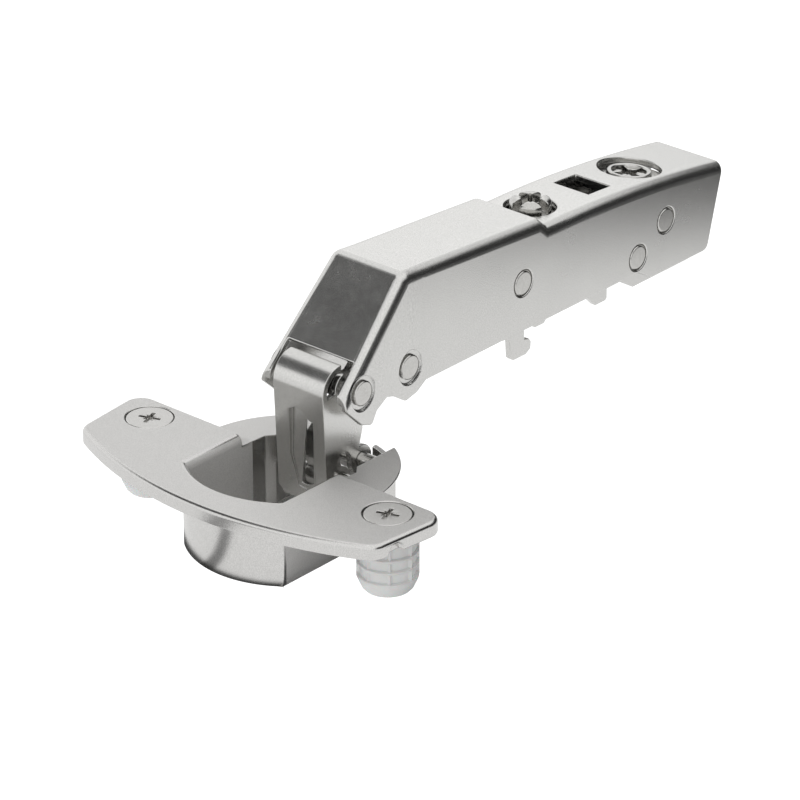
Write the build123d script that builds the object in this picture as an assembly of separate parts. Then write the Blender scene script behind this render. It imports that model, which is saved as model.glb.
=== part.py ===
from build123d import *
from math import atan2, cos, hypot, radians, sin, sqrt
import os

# Concealed cup hinge for a furniture door, standing 90 degrees open.
# Origin: axis of the 35 mm cup, in the plane of the door's back (underside of the flange).
# +Z leaves the door, +Y runs along the arm to the door's edge, X lies along the two dowels.
# The linkage is drawn in the YZ plane, symmetric about X = 0. All lengths are millimetres.

# Cup and flange
CUP_R = 17.5            # body of the cup, for a 35 mm bore
CUP_DEPTH = 12.8
CUP_HALF_W = 11.0       # flat sides of the cup
CUP_WALL = 1.0
CUP_FLOOR = 0.8
FLANGE_T = 2.6
FLANGE_END = 7.8        # axis of a dowel to the end of the flange, along its rear edge
FLANGE_TAPER = 0.1      # the ends close in by this much for each millimetre forwards
FLANGE_FRONT = 23.2     # rear edge to the crown of the front edge
FLANGE_FRONT_R = 70.0
OPENING_FILLET = 1.7
RIM_FILLET = 0.8
END_ARCH_R = 1.7        # small arch under each end of the flange
END_ARCH_Y = -11.0
END_ARCH_DEPTH = 2.0
LIP_R = 18.1            # thin rear collar that lies on the door
LIP_T = 0.5
CHEEK_GAP = 8.75        # half width of the rear channel between the bearing cheeks
CHEEK_START = 4.9       # where the cheeks begin to close in
CHEEK_RUN = 1.5
REAR_WALL_TOP = -1.2
NOTCH_HALF_W = 3.6
NOTCH_FLOOR = -6.0

# Dowels and their screws
DOWEL_X = 26.0          # half of the 52 mm spacing
FLANGE_HALF_L = DOWEL_X + FLANGE_END
DOWEL_Y = -5.5
DOWEL_R = 5.0           # lowest ring, which grips the hole
DOWEL_BODY_R = 4.7
DOWEL_LEN = 11.0
DOWEL_NECK_R = 4.1
SCREW_HEAD_R = 4.0
SCREW_HEAD_T = 1.2
SCREW_SHANK_R = 1.5
SCREW_REACH = 6.0       # depth of the screw's tip below the flange
SCREW_GAP = 0.1
DOWEL_SEAT = FLANGE_T - SCREW_GAP - SCREW_HEAD_T   # height of the dowel's top, inside the flange

# Linkage pivots in the YZ plane
NOSE_FRONT = (8.0, 13.1)
NOSE_REAR = (20.6, 12.9)
CUP_REAR = (11.5, -1.2)
CUP_FRONT = (9.2, -5.0)
FRONT_LINK_TURN = 74.0  # turn of the front link from this pose to the closed door
CUP_PIN_R = 1.3
CUP_PIN_SEAT = 1.8      # length of each pin end inside its cheek
RUN_GAP = 0.05          # radial running clearance of the pins
OPEN_PIVOT_GAP = 1.0    # free play of the inner link on the rear nose pin

# Front link
LINK_HALF_W = 5.4
LINK_SHEET = 1.1
LINK_ROLL_R = 4.4
LINK_ROLL_LEAD = 1.4    # the rolled head is centred this far in front of the nose pin
LINK_ROLL_END = 87.0    # angle where the rolled head of the link ends
LINK_BOTTOM = (3.2, -7.3)
LINK_STRIP = 1.8        # depth of the stiffening rims beside the lower web
LINK_EYE_R = 2.5
LINK_HEAD_R = 2.7

# Inner link
INNER_HALF_W = 2.9
INNER_T = 2.2
INNER_EYE_R = 2.4

# Arm
ARM_HALF_W = 8.0
NOSE_HALF_W = 9.4       # the nose flares out to this half width at its tip
FLARE_Y = 22.0          # where the flare begins
FLARE_BEND_R = 60.0
ARM_SHEET = 1.2
ARM_BEND_R = 2.0
KNEE = (19.3, 29.9)
SLOPE_END = (3.5, 13.8)
STEP_FRONT = (54.4, 27.6)
STEP_REAR = (56.2, 26.0)
TAIL_TOP = (103.7, 22.1)
TAIL_ARCH = 0.95
TAIL_FOOT = (99.7, 6.9)
FOOT_FRONT_Y = 80.3     # the foot of the tail starts here and slants down
FOOT_SLANT = 3.7
ARM_EDGE_Z = 9.1
CUTOUT_LEN = 6.05       # length of the cut-out up the sloping face
CUTOUT_HALF_W = 7.1

# Nose pins and rivets
NOSE_PIN_R = 1.3
RIVET_SHAFT_R = 1.5
RIVET_HEAD_R = 2.15
RIVET_HEAD_T = 0.5
NOSE_RECESS_R = 3.0
RIVET_RING = 0.25
RIVET_DAMPER = (49.4, 17.9)
RIVET_LOWER = (80.2, 12.0)
RIVET_UPPER = (87.7, 16.5)

# Closing spring on the front nose pin
SPRING_WIRE = 0.7
SPRING_TURNS = 11
SPRING_LEG = 3.6

# Damper inside the arm
DAMPER_R = 3.4
DAMPER_AXIS_Z = 19.9
DAMPER_FRONT = 28.0
DAMPER_REAR = 46.0
DAMPER_ROD_R = 1.2
DAMPER_TRAVEL = 5.0
DAMPER_HEAD_R = 2.2
DAMPER_HEAD_T = 1.4
DAMPER_LUG_HALF_W = 1.6

# Adjusters in the arm's tail
SIDE_SCREW_Y = 60.6
SIDE_HOLE_R = 4.5
SIDE_SCREW_R = 3.6
SIDE_SCREW_PROUD = 1.5
SIDE_HEAD_T = 3.1
SIDE_SHANK_R = 2.0
PLATE_T = 1.0           # bearing plates under the two adjusters
WINDOW_Y = 74.4
WINDOW_LEN = 5.8
WINDOW_HALF_W = 3.75
CAM_Y = 87.4
CAM_HOLE_R = 5.6
CAM_R = 3.9
CAM_SUNK = 0.5
CAM_HEAD_T = 1.8
CAM_TILT = -6.0         # slope of the arm's back at the cam, in degrees
CAM_JOURNAL_R = 3.3
CAM_PIN_R = 1.2
CAM_ECCENTRIC = 2.0
CAM_PIN_GAP = 0.15
DEPTH_TRAVEL = 1.5      # each way
SEAT_GAP = 0.05         # between a turning head and the plate it sits on

# Slide block and the carrier that clips to the mounting plate
CARRIER_GAP = 0.4
CARRIER_SHEET = 1.2
CARRIER_FRONT = 46.0
CARRIER_REAR = 98.0
CARRIER_NECK = 13.4     # top of the carrier under the damper's rivet
CARRIER_TOP = 17.6
CARRIER_EDGE = 7.9
CARRIER_FOOT = 5.7      # lower edge of the carrier beside the tail's foot
HOOK_FRONT = 47.9
HOOK_TIP = 3.3
HOOK_LEN = 3.8          # the front hook along the arm, without its rear nose
TAB_FRONT = 68.6
TAB_TIP = 5.8
TAB_LEN = 5.2
TILT_AXIS = (95.0, 16.8)
TILT_PIN_R = 1.2
BLOCK_GAP = 0.3
BLOCK_TOP = 19.9
BLOCK_T = 1.6
LEVER_AXIS = (95.6, 11.2)
LEVER_PIN_R = 1.0


def yz(points, half_w):
    """Plate with the given YZ outline, symmetric about X = 0."""
    return extrude(Plane.YZ * make_face(Polyline(*points, close=True)), half_w, both=True)


def yz_disc(centre, radius, x_low, x_high):
    """Cylinder along X from x_low to x_high."""
    disc = Plane.YZ.offset(x_low) * Pos(*centre) * Circle(radius)
    return extrude(disc, x_high - x_low)


def side_pair(shape_low_x, x_low, x_high):
    """A YZ sketch extruded from x_low to x_high, with its mirror image."""
    one = Pos(x_low, 0, 0) * extrude(Plane.YZ * shape_low_x, x_high - x_low)
    return one + mirror(one, Plane.YZ)


def box(x0, x1, y0, y1, z0, z1):
    """Block between two corners."""
    centre = Pos((x0 + x1) / 2, (y0 + y1) / 2, (z0 + z1) / 2)
    return centre * Box(x1 - x0, y1 - y0, z1 - z0)


def turned(point, centre, angle):
    """A YZ point turned about a centre, in degrees."""
    c, s = cos(radians(angle)), sin(radians(angle))
    dy, dz = point[0] - centre[0], point[1] - centre[1]
    return (centre[0] + c * dy - s * dz, centre[1] + s * dy + c * dz)


def half_plane(y0, y1):
    """Wide slab between two Y values, for trimming sketches in the XY plane."""
    return Pos(0, (y0 + y1) / 2) * Rectangle(100, y1 - y0)


# %% Cup
def flange_outline():
    front_x = (FLANGE_HALF_L - FLANGE_TAPER * FLANGE_FRONT * 0.7)
    drop = FLANGE_FRONT_R - sqrt(FLANGE_FRONT_R**2 - front_x**2)
    corner_y = -FLANGE_FRONT + drop
    corner_x = FLANGE_HALF_L + FLANGE_TAPER * corner_y
    with BuildSketch() as sketch:
        with BuildLine():
            Line((-FLANGE_HALF_L, 0), (-corner_x, corner_y))
            ThreePointArc((-corner_x, corner_y), (0, -FLANGE_FRONT), (corner_x, corner_y))
            Line((corner_x, corner_y), (FLANGE_HALF_L, 0))
            Line((FLANGE_HALF_L, 0), (-FLANGE_HALF_L, 0))
        make_face()
        fillet(sketch.vertices(), 3.2)
    return sketch.sketch


def cup_hollow_outline():
    wall_x = CUP_HALF_W - CUP_WALL
    far = 2 * CUP_R
    bounds = Polyline(
        (-wall_x, -far), (wall_x, -far), (wall_x, CHEEK_START), (CHEEK_GAP, CHEEK_START + CHEEK_RUN),
        (CHEEK_GAP, far), (-CHEEK_GAP, far), (-CHEEK_GAP, CHEEK_START + CHEEK_RUN), (-wall_x, CHEEK_START),
        close=True)
    return Circle(CUP_R - CUP_WALL) & make_face(bounds)


def cup_housing():
    body_outline = Circle(CUP_R) & Rectangle(2 * CUP_HALF_W, 4 * CUP_R)
    body = Pos(0, 0, -CUP_DEPTH) * extrude(body_outline, CUP_DEPTH + LIP_T)
    body = fillet(body.edges().group_by(Axis.Z)[0], 0.5)
    body += extrude(Circle(LIP_R) & half_plane(-2, LIP_R), LIP_T)
    for half_w, low in ((CHEEK_GAP, REAR_WALL_TOP), (NOTCH_HALF_W, NOTCH_FLOOR)):
        body -= box(-half_w, half_w, CUP_R * 0.6, 2 * CUP_R, low, CUP_DEPTH)
    hollow = Pos(0, 0, CUP_FLOOR - CUP_DEPTH) * extrude(cup_hollow_outline(), 2 * CUP_DEPTH)
    plate = extrude(flange_outline(), FLANGE_T) - hollow
    plate = fillet(plate.edges().filter_by(lambda e: on_top(e) and inside_opening(e)), OPENING_FILLET)
    plate = fillet(plate.edges().filter_by(lambda e: on_top(e) and on_rim(e)), RIM_FILLET)
    cup = plate + (body - hollow)
    for side in (-1, 1):
        cup -= Pos(side * DOWEL_X, DOWEL_Y, 0) * Cylinder(DOWEL_NECK_R, 4 * FLANGE_T)
        cup -= Pos(side * DOWEL_X, DOWEL_Y, 0) * Cylinder(DOWEL_BODY_R + RUN_GAP, 2 * DOWEL_SEAT)
        end = side * FLANGE_HALF_L
        cup -= yz_disc((END_ARCH_Y, 0), END_ARCH_R, end - END_ARCH_DEPTH, end + END_ARCH_DEPTH)
    for pivot in (CUP_REAR, CUP_FRONT):
        reach = CHEEK_GAP + CUP_PIN_SEAT
        cup -= yz_disc(pivot, CUP_PIN_R, -reach, reach)
    return cup


def on_top(edge):
    return abs(edge.center().Z - FLANGE_T) < 0.01


def inside_opening(edge):
    """True for the edges round the opening of the flange."""
    c = edge.center()
    return abs(c.X) < CUP_HALF_W and -CUP_R < c.Y < -0.01


def on_rim(edge):
    """True for the edges round the outside of the flange."""
    c = edge.center()
    return abs(c.X) > CUP_HALF_W + OPENING_FILLET or c.Y > -0.01 or c.Y < -CUP_R - OPENING_FILLET


def cup_pin(pivot):
    reach = CHEEK_GAP + CUP_PIN_SEAT
    return yz_disc(pivot, CUP_PIN_R, -reach, reach)


# %% Dowels
def dowel(side):
    """Ribbed dowel, pressed into the flange from below and solid under its screw."""
    valley_r = DOWEL_BODY_R - 0.3
    points = [(SCREW_SHANK_R, DOWEL_SEAT), (SCREW_SHANK_R, -SCREW_REACH), (0, -SCREW_REACH), (0, -DOWEL_LEN)]
    points += [(DOWEL_R * 0.62, -DOWEL_LEN), (DOWEL_R * 0.85, -DOWEL_LEN + 0.9)]
    points += [(DOWEL_R, -SCREW_REACH - 2.0), (DOWEL_R, -SCREW_REACH - 0.2), (valley_r, -SCREW_REACH + 0.1)]
    for top, bottom in ((-3.9, -5.4), (-0.6, -3.3)):
        points += [(valley_r, bottom - 0.3), (DOWEL_BODY_R, bottom), (DOWEL_BODY_R, top), (valley_r, top + 0.3)]
    points += [(DOWEL_BODY_R, 0), (DOWEL_BODY_R, DOWEL_SEAT)]
    shape = revolve(Plane.XZ * make_face(Polyline(*points, close=True)), Axis.Z)
    return Pos(side * DOWEL_X, DOWEL_Y, 0) * shape


def cross_recess(size, width, depth, top):
    arm = box(-size, size, -width / 2, width / 2, top - depth, top + 1)
    return arm + Rot(0, 0, 90) * arm


def dowel_screw(side):
    top = FLANGE_T - SCREW_GAP
    head = Pos(0, 0, top - SCREW_HEAD_T / 2) * Cylinder(SCREW_HEAD_R, SCREW_HEAD_T)
    head = chamfer(head.edges().group_by(Axis.Z)[-1], 0.25)
    shank_len = SCREW_REACH + DOWEL_SEAT
    shank = Pos(0, 0, DOWEL_SEAT - shank_len / 2) * Cylinder(SCREW_SHANK_R, shank_len)
    screw = head + shank - Rot(0, 0, 20) * cross_recess(2.0, 0.8, 0.8, top)
    return Pos(side * DOWEL_X, DOWEL_Y, 0) * screw


# %% Links
def roll_centre():
    return (NOSE_FRONT[0] - LINK_ROLL_LEAD, NOSE_FRONT[1])


def web_line(z):
    """Y of the front face of the front link's web at height z."""
    top_y = roll_centre()[0] - LINK_ROLL_R
    share = (NOSE_FRONT[1] - z) / (NOSE_FRONT[1] - LINK_BOTTOM[1])
    return top_y + share * (LINK_BOTTOM[0] - top_y)


def front_link_web():
    top_z = NOSE_FRONT[1]
    low_z = LINK_BOTTOM[1]
    outline = [(web_line(low_z), low_z), (web_line(low_z) + LINK_SHEET, low_z),
               (web_line(top_z) + LINK_SHEET, top_z), (web_line(top_z), top_z)]
    web = yz(outline, LINK_HALF_W)
    web = chamfer(web.edges().filter_by(Axis.Y).group_by(Axis.Z)[0], 1.2)
    ring = Circle(LINK_ROLL_R) - Circle(LINK_ROLL_R - LINK_SHEET)
    far = 2 * LINK_ROLL_R
    a = radians(LINK_ROLL_END)
    wedge = make_face(Polyline((0, 0), (-far, 0), (-far, far), (far * cos(a), far * sin(a)), close=True))
    roll = extrude(Plane.YZ * Pos(*roll_centre()) * (ring & wedge), LINK_HALF_W, both=True)
    return web + roll


def front_link_flange():
    """Outline of one side wall of the front link."""
    low_z = LINK_BOTTOM[1]
    strip = web_line(low_z) + LINK_STRIP
    points = [(web_line(low_z) + 0.2, low_z + 1.2), (strip, low_z + 1.6), (strip, -1.2), (strip + 1.2, -0.5),
              (CUP_REAR[0] - 1.0, CUP_REAR[1] + 0.5), (CUP_REAR[0] - 0.2, CUP_REAR[1] + 3.4),
              (CUP_REAR[0] + 0.4, CUP_REAR[1] + 5.4), (NOSE_FRONT[0] + LINK_HEAD_R, NOSE_FRONT[1]),
              (NOSE_FRONT[0] - LINK_HEAD_R, NOSE_FRONT[1] - 0.4), (web_line(12.4) + 0.2, 12.4)]
    wall = make_face(Polyline(*points, close=True))
    wall += Pos(*NOSE_FRONT) * Circle(LINK_HEAD_R)
    wall += Pos(*CUP_REAR) * Circle(LINK_EYE_R)
    passing = turned(CUP_FRONT, CUP_REAR, -FRONT_LINK_TURN)
    room = CUP_PIN_R + 0.3
    wall -= Pos(*passing) * Circle(room)
    wall -= Pos(passing[0], passing[1] - 2) * Rectangle(2 * room, 4)
    return wall


def link_window():
    """Pressed window in the web: a sloping rim outside and a slot right through."""
    rim = Polyline((-2.3, 8.8), (-0.9, 9.6), (2.2, 9.1), (2.9, 8.0), (2.9, -4.4), (1.4, -5.2), (-0.8, -4.9),
                   (-2.4, 0.6), close=True)
    slot = Polyline((0.9, 7.6), (2.2, 7.2), (2.2, -3.7), (1.2, -4.3), (-0.3, -4.2), (0.4, 3.0), close=True)
    front = Plane(origin=(0, web_line(3.0) - 1.0, 0), x_dir=(1, 0, 0), z_dir=(0, -1, 0))
    pocket = extrude(front * make_face(rim), -(1.0 + LINK_SHEET * 0.55))
    through = extrude(front * make_face(slot), -(2.0 + LINK_SHEET * 2))
    return pocket + through


def front_link():
    link = front_link_web()
    link += side_pair(front_link_flange(), LINK_HALF_W - LINK_SHEET, LINK_HALF_W)
    link -= yz_disc(NOSE_FRONT, NOSE_PIN_R + RUN_GAP, -ARM_HALF_W, ARM_HALF_W)
    link -= yz_disc(CUP_REAR, CUP_PIN_R + RUN_GAP, -ARM_HALF_W, ARM_HALF_W)
    return link - link_window()


def inner_link():
    neck = (CUP_FRONT[0] - 1.5, CUP_FRONT[1] + 4.2)
    bend = (CUP_FRONT[0] - 1.1, CUP_FRONT[1] + 7.0)
    path = FilletPolyline(CUP_FRONT, neck, bend, NOSE_REAR, radius=1.2)
    bar = trace(path, INNER_T)
    bar += Pos(*CUP_FRONT) * Circle(INNER_EYE_R)
    open_r = NOSE_PIN_R + OPEN_PIVOT_GAP
    bar += Pos(*NOSE_REAR) * Circle(open_r + 1.1)
    bar -= Pos(*NOSE_REAR) * Circle(open_r)
    bar -= Pos(*CUP_FRONT) * Circle(CUP_PIN_R + RUN_GAP)
    return extrude(Plane.YZ * bar, INNER_HALF_W, both=True)


# %% Arm
def nose_contour():
    """Lower edge of the arm's side walls, from the tip of the nose to the straight edge."""
    ny, nz = NOSE_FRONT
    ry, rz = NOSE_REAR
    return [(ny - 4.5, nz - 1.7), (ny - 0.4, nz - 5.6), (ny + 2.3, nz - 6.6), (ny + 3.65, nz - 4.5),
            (ny + 6.3, nz - 3.2), (ry - 4.4, rz - 3.6), (ry - 1.2, rz - 5.7), (ry + 1.8, rz - 5.2),
            (ry + 4.1, ARM_EDGE_Z)]


def tail_z(y):
    """Height of the arm's back at a given Y behind the step."""
    u = (y - STEP_REAR[0]) / (TAIL_TOP[0] - STEP_REAR[0])
    return STEP_REAR[1] + u * (TAIL_TOP[1] - STEP_REAR[1]) + 4 * u * (1 - u) * TAIL_ARCH


def tail_points():
    """Points along the curved back, the rear end first."""
    steps = 8
    run = TAIL_TOP[0] - STEP_REAR[0]
    return [(TAIL_TOP[0] - run * k / steps, tail_z(TAIL_TOP[0] - run * k / steps)) for k in range(steps + 1)]


def arm_half_width(y):
    flare = (FLARE_Y - y) / (FLARE_Y - SLOPE_END[0])
    return ARM_HALF_W + (NOSE_HALF_W - ARM_HALF_W) * max(flare, 0)


def arm_plan(inset):
    """Plan view of the arm, flared at the nose, drawn inside its outline by the inset."""
    front, rear = SLOPE_END[0] - 20, TAIL_TOP[0] + 20
    right = [(arm_half_width(y) - inset, y) for y in (front, FLARE_Y, rear)]
    left = [(-x, y) for x, y in reversed(right)]
    plan = make_face(Polyline(*right, *left, close=True))
    return fillet(plan.vertices().filter_by(lambda v: abs(v.Y - FLARE_Y) < 0.01), FLARE_BEND_R)


def arm_profile():
    """Side view of the folded arm."""
    lower = nose_contour()
    points = [*lower, (FOOT_FRONT_Y, ARM_EDGE_Z), (FOOT_FRONT_Y + FOOT_SLANT, TAIL_FOOT[1]), TAIL_FOOT]
    points += [*tail_points(), STEP_FRONT, KNEE, SLOPE_END]
    outline = make_face(Polyline(*points, close=True))
    for point, radius in ((KNEE, 2.5), (TAIL_FOOT, 1.5), (lower[1], 0.8), (lower[2], 0.8), (lower[6], 1.2)):
        near = outline.vertices().sort_by_distance(Vector(*point, 0))[0]
        outline = fillet(near, radius)
    return outline


def arm_inner_profile():
    """The same side view, inside the sheet and open downwards."""
    low = -20
    far = TAIL_TOP[0] + 20
    slope_in = on_slope(-20, -ARM_SHEET)
    knee_in = on_slope(hypot(KNEE[0] - SLOPE_END[0], KNEE[1] - SLOPE_END[1]) - ARM_SHEET * 0.45, -ARM_SHEET)
    back = [(y - 0.3, z - ARM_SHEET) for y, z in reversed(tail_points())]
    points = [slope_in, knee_in, (STEP_FRONT[0] - 0.3, STEP_FRONT[1] - ARM_SHEET), *back,
              (far, back[-1][1] - 2), (far, low), (slope_in[0], low)]
    return make_face(Polyline(*points, close=True))


def on_slope(distance, lift=0.0):
    """Point on the sloping face, measured up from its lower end."""
    a = atan2(KNEE[1] - SLOPE_END[1], KNEE[0] - SLOPE_END[0])
    return (SLOPE_END[0] + distance * cos(a) - lift * sin(a), SLOPE_END[1] + distance * sin(a) + lift * cos(a))


def arm_blank():
    """Folded sheet before the holes are made."""
    tall = 100
    arm = extrude(Plane.YZ * arm_profile(), 2 * NOSE_HALF_W, both=True) & extrude(arm_plan(0), tall, both=True)
    arm = fillet(arm.edges().filter_by(lambda e: on_back(e)), ARM_BEND_R)
    inside = extrude(Plane.YZ * arm_inner_profile(), 2 * NOSE_HALF_W, both=True)
    return arm - (inside & extrude(arm_plan(ARM_SHEET), tall, both=True))


def arm_shell():
    arm = arm_blank()
    notch = yz([on_slope(-8, -9), on_slope(CUTOUT_LEN, -9), on_slope(CUTOUT_LEN, 3), on_slope(-8, 3)], CUTOUT_HALF_W)
    arm -= notch
    arm -= Pos(0, SIDE_SCREW_Y, tail_z(SIDE_SCREW_Y)) * Cylinder(SIDE_HOLE_R, 6)
    arm -= Pos(0, WINDOW_Y, tail_z(WINDOW_Y)) * Box(2 * WINDOW_HALF_W, WINDOW_LEN, 6)
    arm -= cam_place() * Cylinder(CAM_HOLE_R, 6)
    for pivot in (NOSE_FRONT, NOSE_REAR):
        arm -= yz_disc(pivot, NOSE_PIN_R, -NOSE_HALF_W, NOSE_HALF_W)
        arm -= ring_recess(pivot, NOSE_RECESS_R)
    for pivot in (RIVET_DAMPER, RIVET_LOWER, RIVET_UPPER):
        arm -= yz_disc(pivot, RIVET_SHAFT_R, -ARM_HALF_W, ARM_HALF_W)
        arm -= ring_recess(pivot, RIVET_HEAD_R + RIVET_RING)
    return arm


def on_back(edge):
    """True for the long edges where the arm's back meets its sides."""
    points = (edge @ 0, edge @ 0.5, edge @ 1)
    if any(abs(abs(p.X) - arm_half_width(p.Y)) > 0.2 for p in points):
        return False
    return all(abs(back_z(p.Y) - p.Z) < 0.9 for p in points)


def back_z(y):
    """Height of the outside of the arm's back, from the slope to the tail."""
    if y < KNEE[0]:
        return SLOPE_END[1] + (y - SLOPE_END[0]) * (KNEE[1] - SLOPE_END[1]) / (KNEE[0] - SLOPE_END[0])
    if y < STEP_FRONT[0]:
        return KNEE[1] + (y - KNEE[0]) * (STEP_FRONT[1] - KNEE[1]) / (STEP_FRONT[0] - KNEE[0])
    if y < STEP_REAR[0]:
        return STEP_FRONT[1] + (y - STEP_FRONT[0]) * (STEP_REAR[1] - STEP_FRONT[1]) / (STEP_REAR[0] - STEP_FRONT[0])
    return tail_z(y)


def ring_recess(pivot, radius):
    """Shallow recess round a rivet head, on both outer sides."""
    half = arm_half_width(pivot[0])
    one = yz_disc(pivot, radius, half - RIVET_HEAD_T, half + 1)
    return one + mirror(one, Plane.YZ)


def rivet(pivot, shaft_r):
    """Pin with a formed head flush with each side of the arm."""
    half = arm_half_width(pivot[0])
    pin = yz_disc(pivot, shaft_r, -half + RIVET_HEAD_T, half - RIVET_HEAD_T)
    head = yz_disc(pivot, RIVET_HEAD_R, half - RIVET_HEAD_T, half)
    head = chamfer(head.edges().group_by(Axis.X)[-1], 0.12)
    return pin + head + mirror(head, Plane.YZ)


def closing_spring():
    """Close wound coil round the front nose pin, with one leg on the arm and one behind the web."""
    bore = NOSE_PIN_R + 0.1
    half = SPRING_TURNS * SPRING_WIRE / 2
    points = [(-half, bore)]
    for k in range(SPRING_TURNS):
        x = -half + k * SPRING_WIRE
        points += [(x, bore + SPRING_WIRE * 0.55), (x + SPRING_WIRE * 0.25, bore + SPRING_WIRE * 0.92),
                   (x + SPRING_WIRE * 0.75, bore + SPRING_WIRE * 0.92)]
    points += [(half, bore + SPRING_WIRE * 0.55), (half, bore)]
    profile = make_face(Polyline(*points, close=True))
    coil = revolve(Plane.XY * profile, Axis.X)
    reach = bore + SPRING_WIRE / 2
    down = Pos(-half + SPRING_WIRE / 2, -reach, -SPRING_LEG / 2) * Cylinder(SPRING_WIRE / 2, SPRING_LEG)
    back = Pos(half - SPRING_WIRE / 2, 0, reach) * Rot(-90, 0, 0) * Pos(0, 0, SPRING_LEG / 3) \
        * Cylinder(SPRING_WIRE / 2, SPRING_LEG * 2 / 3)
    return Pos(0, *NOSE_FRONT) * (coil + down + back)


# %% Damper
def damper_cylinder():
    length = DAMPER_REAR - DAMPER_FRONT
    tube = Pos(0, DAMPER_FRONT + length / 2, DAMPER_AXIS_Z) * Rot(90, 0, 0) * Cylinder(DAMPER_R, length)
    tube = chamfer(tube.edges().group_by(Axis.Y)[0], 0.5)
    lug_r = RIVET_SHAFT_R + 1.2
    lug = box(-DAMPER_LUG_HALF_W, DAMPER_LUG_HALF_W, DAMPER_REAR - 1, RIVET_DAMPER[0],
              RIVET_DAMPER[1] - lug_r, RIVET_DAMPER[1] + lug_r)
    lug += yz_disc(RIVET_DAMPER, lug_r, -DAMPER_LUG_HALF_W, DAMPER_LUG_HALF_W)
    lug -= yz_disc(RIVET_DAMPER, RIVET_SHAFT_R, -ARM_HALF_W, ARM_HALF_W)
    bore_len = DAMPER_TRAVEL + 6
    bore = Pos(0, DAMPER_FRONT + bore_len / 2, DAMPER_AXIS_Z) * Rot(90, 0, 0) \
        * Cylinder(DAMPER_ROD_R + RUN_GAP, bore_len)
    return tube + lug - bore


def damper_rod():
    inside = 5.0
    outside = DAMPER_TRAVEL + 0.4
    front = DAMPER_FRONT - outside
    rod = Pos(0, front + (inside + outside) / 2, DAMPER_AXIS_Z) * Rot(90, 0, 0) \
        * Cylinder(DAMPER_ROD_R, inside + outside)
    head = Pos(0, front - DAMPER_HEAD_T / 2, DAMPER_AXIS_Z) * Rot(90, 0, 0) * Cylinder(DAMPER_HEAD_R, DAMPER_HEAD_T)
    head = fillet(head.edges().group_by(Axis.Y)[0], 0.5)
    return rod + head


# %% Adjusters
def cam_place():
    return Pos(0, CAM_Y, tail_z(CAM_Y)) * Rot(CAM_TILT, 0, 0)


def z_disc(radius, top, length):
    """Cylinder along Z hanging from the given height."""
    return Pos(0, 0, top - length / 2) * Cylinder(radius, length)


def side_screw():
    """Raised head with a wide open cross, and its shank."""
    top = SIDE_SCREW_PROUD
    head = z_disc(SIDE_SCREW_R, top, SIDE_HEAD_T)
    head = fillet(head.edges().group_by(Axis.Z)[-1], 0.9)
    head -= Rot(0, 0, 8) * cross_recess(SIDE_SCREW_R + 1, 1.6, 1.5, top)
    z_back = tail_z(SIDE_SCREW_Y)
    shank_len = z_back + top - SIDE_HEAD_T - (CARRIER_TOP - CARRIER_SHEET - 1.0)
    shank = z_disc(SIDE_SHANK_R, top - SIDE_HEAD_T, shank_len)
    return Pos(0, SIDE_SCREW_Y, z_back) * (head + shank)


def screw_plate():
    """Plate across the arm that the side screw bears on."""
    half = ARM_HALF_W - ARM_SHEET
    top = tail_z(SIDE_SCREW_Y) + SIDE_SCREW_PROUD - SIDE_HEAD_T - SEAT_GAP
    plate = box(-half, half, SIDE_SCREW_Y - 5, SIDE_SCREW_Y + 5, top - PLATE_T, top)
    return plate - Pos(0, SIDE_SCREW_Y, top) * Cylinder(SIDE_SHANK_R + RUN_GAP, 4)


def depth_cam():
    """Ring head with a cross recess, its journal, and the eccentric pin that drives the slide block."""
    head = z_disc(CAM_R, -CAM_SUNK, CAM_HEAD_T)
    head = fillet(head.edges().group_by(Axis.Z)[-1], 0.3)
    head -= z_disc(CAM_R - 0.9, 0, CAM_SUNK + 0.4)
    head -= Rot(0, 0, 8) * cross_recess(CAM_R - 1.2, 1.3, 1.4, -CAM_SUNK)
    low = -CAM_SUNK - CAM_HEAD_T
    journal = z_disc(CAM_JOURNAL_R, low, PLATE_T + 2 * SEAT_GAP)
    pin = Pos(CAM_ECCENTRIC, 0, 0) * z_disc(CAM_PIN_R, low, PLATE_T + 2.4)
    return cam_place() * (head + journal + pin)


def cam_plate():
    """Plate across the arm that the depth cam turns in."""
    half = ARM_HALF_W - ARM_SHEET
    top = -CAM_SUNK - CAM_HEAD_T - SEAT_GAP
    plate = box(-half, half, -6.8, 6.8, top - PLATE_T, top)
    return cam_place() * (plate - Pos(0, 0, top) * Cylinder(CAM_JOURNAL_R + RUN_GAP, 4))


def carrier_half_width():
    return ARM_HALF_W - ARM_SHEET - CARRIER_GAP


def slide_block():
    """Block under the cam, with two lugs and a cross pin that carry the rear of the carrier."""
    half = carrier_half_width() - CARRIER_SHEET - BLOCK_GAP
    rear = TILT_AXIS[0] + 2.2
    block = box(-half, half, CAM_Y - 5.5, rear, BLOCK_TOP - BLOCK_T, BLOCK_TOP)
    lugs = box(-half, half, TILT_AXIS[0] - 2.0, rear, TILT_AXIS[1] - 2.0, BLOCK_TOP)
    lugs -= box(-half + 1.6, half - 1.6, TILT_AXIS[0] - 3, rear + 1, TILT_AXIS[1] - 3, BLOCK_TOP - BLOCK_T)
    block = block + lugs + yz_disc(TILT_AXIS, TILT_PIN_R, -carrier_half_width(), carrier_half_width())
    reach = CAM_ECCENTRIC + CAM_PIN_R + CAM_PIN_GAP
    groove = box(-reach, reach, -CAM_PIN_R - CAM_PIN_GAP, CAM_PIN_R + CAM_PIN_GAP, -9, 0)
    return block - cam_place() * groove


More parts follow.
